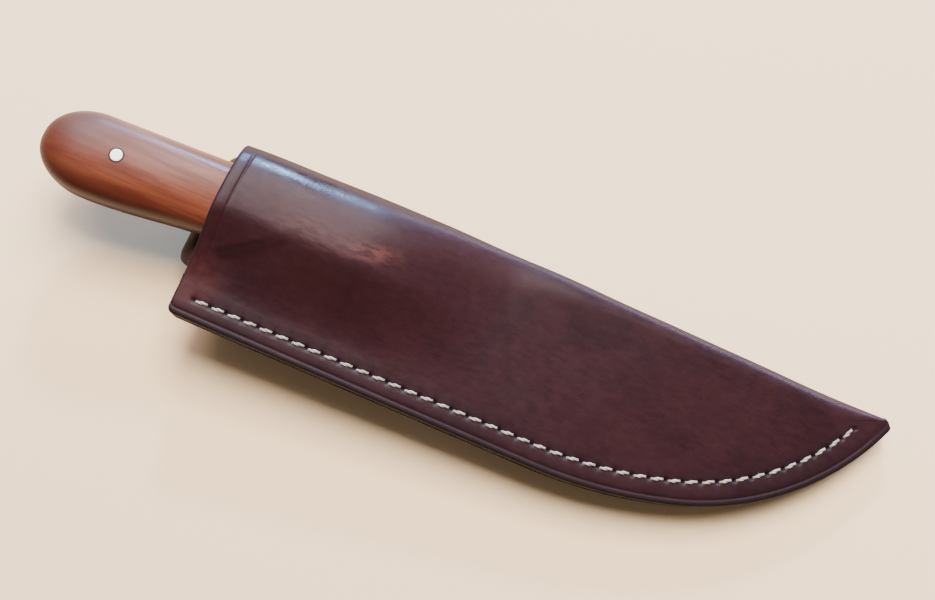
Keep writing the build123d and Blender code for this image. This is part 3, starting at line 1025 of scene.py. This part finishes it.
# ---- stitching ----
THREAD_RADIUS = 0.55
PLY_DEPTH = 0.20
PLY_SHADE = 0.45
HOLE_SHADE = 0.85
THREAD_NARROW = 0.72
# How far a stitch's middle lies above the leather's face, and its ends below it.
EDGE_STITCH = (0.02, -0.75)
LOOP_STITCH = (0.1, -0.6)
STITCH_SLANT = 0.32
STITCH_SHOWN = 0.78
STITCH_POWER = 0.45
PLY_LENGTH = 1.5
THREAD_SIDES = 12
THREAD_RINGS = 19


def stitch_rings(start, end, rise, sink):
    """One stitch as rings: it comes up out of one hole, lies on the leather and goes down the next."""
    span = end - start
    length = np.linalg.norm(span)
    forward = span / length
    beside = np.array((-forward[1], forward[0]))
    rings = []
    sunk = []
    for share in np.linspace(0, 1, THREAD_RINGS):
        lean = STITCH_SLANT * (share - 0.5) * 2
        centre = start + span * (0.5 + STITCH_SHOWN * (share - 0.5)) + beside * lean
        lift = np.sin(np.pi * share) ** STITCH_POWER
        z = sink + (rise - sink) * lift
        radius = THREAD_RADIUS * (THREAD_NARROW + (1 - THREAD_NARROW) * lift)
        angle = np.linspace(0, 2 * np.pi, THREAD_SIDES, endpoint=False)
        twist = np.cos(2 * angle - np.pi * share * length / PLY_LENGTH)
        ply = radius * (1 + PLY_DEPTH * twist)
        flat = centre + beside * (ply * np.cos(angle))[:, None]
        rings.append(np.column_stack((flat, z + ply * np.sin(angle))))
        sunk.append(np.maximum(HOLE_SHADE * (1 - lift), PLY_SHADE * smooth(-twist)))
    return np.array(rings), np.concatenate(sunk)


def join_lofts(lofts):
    """Several closed lofts as one list of points and faces."""
    points = []
    faces = []
    start = 0
    for rings in lofts:
        some_points, some_faces = ring_loft(rings)
        points.append(some_points)
        faces += [[start + k for k in face] for face in some_faces]
        start += len(some_points)
    return np.concatenate(points), faces


THREAD_LOOK = thread_material()


def sew(name, node, levels, stitches):
    """One piece for many stitches, each with its start and end, the leather's face and its side."""
    lofts = []
    sunk = []
    for start, end, face, side in stitches:
        rings, dark = stitch_rings(start, end, face + levels[0], face + levels[1])
        lofts.append(rings * (1, 1, side))
        sunk.append(dark)
    points, faces = join_lofts(lofts)
    values = {"sunk": np.concatenate(sunk)}
    make_piece(name, "sheath", node, points, faces, [THREAD_LOOK], values)


def make_edge_stitches():
    """The saddle stitching along the belly, on both faces."""
    holes = stitch_line(HOLES)
    stitches = []
    for side in (1, -1):
        for start, end in zip(holes, holes[1:]):
            stitches.append((start, end, height(*(start + end) / 2), side))
    sew("edge_stitching", "edge_thread", EDGE_STITCH, stitches)


LOOP_ROWS = (87.0, 95.0)
LOOP_PITCH = 5.0
LOOP_STITCHES = 5


def make_loop_stitches():
    """Two rows of stitches that hold the strap's end to the back panel."""
    outside = STRAP_SEWN + LEATHER / 2
    first = STRAP_MIDDLE - LOOP_STITCHES * LOOP_PITCH / 2
    stitches = []
    for x in LOOP_ROWS:
        for k in range(LOOP_STITCHES):
            start = np.array((x, first + k * LOOP_PITCH))
            stitches.append((start, start + (0, LOOP_PITCH), outside, -1))
    sew("loop_stitching", "loop_thread", LOOP_STITCH, stitches)


# ---- the knife's handle ----
HANDLE_BUTT = -66.5
HANDLE_FRONT = 60.5
BUTT_LENGTH = 20.0
HALF_WIDTH = 15.3
HANDLE_MIDDLE = -24.7
HALF_HANDLE = 9.5
CROWN = 2.7
TANG_INSET = 3.0
TANG_RECESS = 1.35
BACK_RISE = 4.0
WAIST = 5.0
WAIST_RISE = 0.4
BUTT_ROUND = 2.3
FRONT_ROUND = 6.0
FRONT_DROP = 0.55
MID_GAP = 0.04
RIM_HEIGHT = 4.5
BUTT_RIM = 0.35
BUTT_START = 0.04
TANG_SHARE = 0.45
RECESS_SHARE = 0.5
# The half-width where the tang's recess starts, how fast it deepens and its least share.
RECESS_START = (3.5, 2.0, 0.02)
TANG_CORNER = 0.01
BUTT_SECTIONS = 22
GRIP_SECTIONS = 60
CROWN_STEPS = 28


def handle_sides(x):
    """The y of the handle's back and of its belly at x."""
    past = np.clip((-x + HANDLE_BUTT + BUTT_LENGTH) / BUTT_LENGTH, 0, 1)
    round_off = np.sqrt(np.maximum(1 - past**2, 0))
    share = np.clip((x - HANDLE_BUTT - BUTT_LENGTH) / (HANDLE_FRONT - HANDLE_BUTT - BUTT_LENGTH), 0, 1)
    back = HANDLE_MIDDLE + HALF_WIDTH * round_off + BACK_RISE * share
    waist = WAIST * smooth(share * 1.9) + WAIST_RISE * share
    belly = HANDLE_MIDDLE - HALF_WIDTH * round_off + waist
    return back, belly


def scale_rings():
    """Sections of one handle scale from the butt to the front: a crown outside, a tang recess inside."""
    butt_turn = np.linspace(BUTT_START, 1, BUTT_SECTIONS) * np.pi / 2
    near = HANDLE_BUTT + BUTT_LENGTH * (1 - np.cos(butt_turn))
    far = np.linspace(HANDLE_BUTT + BUTT_LENGTH, HANDLE_FRONT, GRIP_SECTIONS)[1:]
    angle = np.linspace(0, np.pi, CROWN_STEPS)
    across = np.sign(np.cos(angle)) * np.abs(np.cos(angle)) ** (2 / CROWN)
    up = np.abs(np.sin(angle)) ** (2 / CROWN)
    narrow, slope, least = RECESS_START
    rings = []
    rims = []
    for x in np.concatenate((near, far)):
        back, belly = handle_sides(x)
        half = (back - belly) / 2
        past = np.clip((HANDLE_BUTT + BUTT_LENGTH - x) / BUTT_LENGTH, 0, 1)
        front = np.clip((x - HANDLE_FRONT) / FRONT_ROUND + 1, 0, 1)
        thick = HALF_HANDLE * (1 - past**BUTT_ROUND) ** (1 / BUTT_ROUND)
        thick *= math.sqrt(1 - (FRONT_DROP * front) ** 2)
        inset = min(TANG_INSET, TANG_SHARE * half)
        recess = min(TANG_RECESS, RECESS_SHARE * thick) * np.clip((half - narrow) / slope, least, 1)
        low, high = belly + inset, back - inset
        inside_y = (low, low + TANG_CORNER, high - TANG_CORNER, high)
        inside_z = (MID_GAP, recess, recess, MID_GAP)
        y = np.concatenate(((back + belly) / 2 + half * across, inside_y))
        z = np.concatenate((np.maximum(thick * up, MID_GAP), inside_z))
        rings.append(np.stack((np.full(len(y), x), y, z), -1))
        rims.append(np.maximum(1 - smooth(z / RIM_HEIGHT), BUTT_RIM * past))
    return np.array(rings), np.concatenate(rims)


WOOD_LOOK = wood_material()


def make_scale(name, node, side):
    """One handle scale, on the front (side 1) or the back (side -1)."""
    rings, rims = scale_rings()
    points, faces = ring_loft(rings)
    points = points * (1, 1, side)
    if side > 0:
        faces = [face[::-1] for face in faces]
    make_piece(name, "knife", node, points, faces, [WOOD_LOOK], {"rim": rims})


PIN_RADIUS = 2.2
PIN_PLACES = (-37.5, 31.5)
PIN_SIDES = 40
PIN_PROFILE = ((0.6, 0.03), (0.8, 0.03), (0.92, 0.02), (0.98, -0.03), (1.0, -0.12), (1.0, -0.6))


def make_pins():
    """The pins through scales and tang, ground nearly flush, each with a softened rim and a flat face."""
    lofts = []
    angle = np.linspace(0, 2 * np.pi, PIN_SIDES, endpoint=False)
    profile = [(share * PIN_RADIUS, HALF_HANDLE + rise) for share, rise in PIN_PROFILE]
    profile += [(radius, -z) for radius, z in profile[::-1]]
    for x in PIN_PLACES:
        rings = []
        for radius, z in profile:
            y = PINS_MIDDLE[1] + radius * np.sin(angle)
            rings.append(np.stack((x + radius * np.cos(angle), y, np.full(len(angle), z)), -1))
        lofts.append(rings)
    points, faces = join_lofts(lofts)
    looks = [pin_material()]
    make_piece("handle_pin_pair", "knife", "handle_pins", points, faces, looks)


def dress_blade():
    """The CAD blade keeps its shape and gets the ground steel."""
    steel = steel_material()
    for slot in frame["nodes"]["blade"].material_slots:
        slot.material = steel


make_leather()
make_strap()
make_welt()
make_edge_stitches()
make_loop_stitches()
make_scale("front_scale", "handle_scale_front", 1)
make_scale("back_scale", "handle_scale_back", -1)
make_pins()
dress_blade()


# ---- floor and light ----
FLOOR_SIZE = 6.0
LIT_POINT = (80, -25, 0)
ROOM_COLOUR = (1.0, 0.90, 0.80, 1.0)
ROOM_STRENGTH = 0.20


def make_floor():
    """The pale surface that the sheath lies on."""
    half = FLOOR_SIZE / 2
    mesh = bpy.data.meshes.new("floor")
    corners = [(-half, -half, 0), (half, -half, 0), (half, half, 0), (-half, half, 0)]
    mesh.from_pydata(corners, [], [(0, 1, 2, 3)])
    mesh.materials.append(floor_material())
    floor = bpy.data.objects.new("floor", mesh)
    bpy.context.scene.collection.objects.link(floor)


def add_light(name, azimuth, elevation, distance, size, power, colour):
    """A soft panel of light that faces the knife. Azimuth 0 is toward +X, 90 toward +Y."""
    data = bpy.data.lights.new(name, "AREA")
    data.shape = "RECTANGLE"
    data.size, data.size_y = size
    data.energy = power
    data.color = colour
    a = math.radians(azimuth)
    e = math.radians(elevation)
    away = Vector((math.cos(a) * math.cos(e), math.sin(a) * math.cos(e), math.sin(e)))
    return aim(name, data, LIT_POINT, away, distance)


# Each light: azimuth, elevation, distance, size, power and colour.
LIGHTS = {
    "window": (107, 26, 1.6, (0.20, 0.12), 38.0, (0.34, 0.60, 1.0)),
    "sky": (72, 12, 1.6, (1.4, 0.20), 25.0, (0.62, 0.62, 1.0)),
    "wall": (122, 57, 1.8, (1.4, 0.9), 36.0, (1.0, 0.84, 0.84)),
    "glow": (88, 60, 1.8, (1.1, 1.1), 108.0, (1.0, 0.95, 0.87)),
}


def make_light():
    """A cool window and sky low past the spine, a warm wall, and a high glow with no reflection."""
    for name, values in LIGHTS.items():
        light = add_light(name, *values)
        light.visible_glossy = name != "glow"
    world = bpy.data.worlds.new("room")
    world.use_nodes = True
    background = world.node_tree.nodes["Background"]
    background.inputs["Color"].default_value = ROOM_COLOUR
    background.inputs["Strength"].default_value = ROOM_STRENGTH
    bpy.context.scene.world = world


make_floor()
make_light()
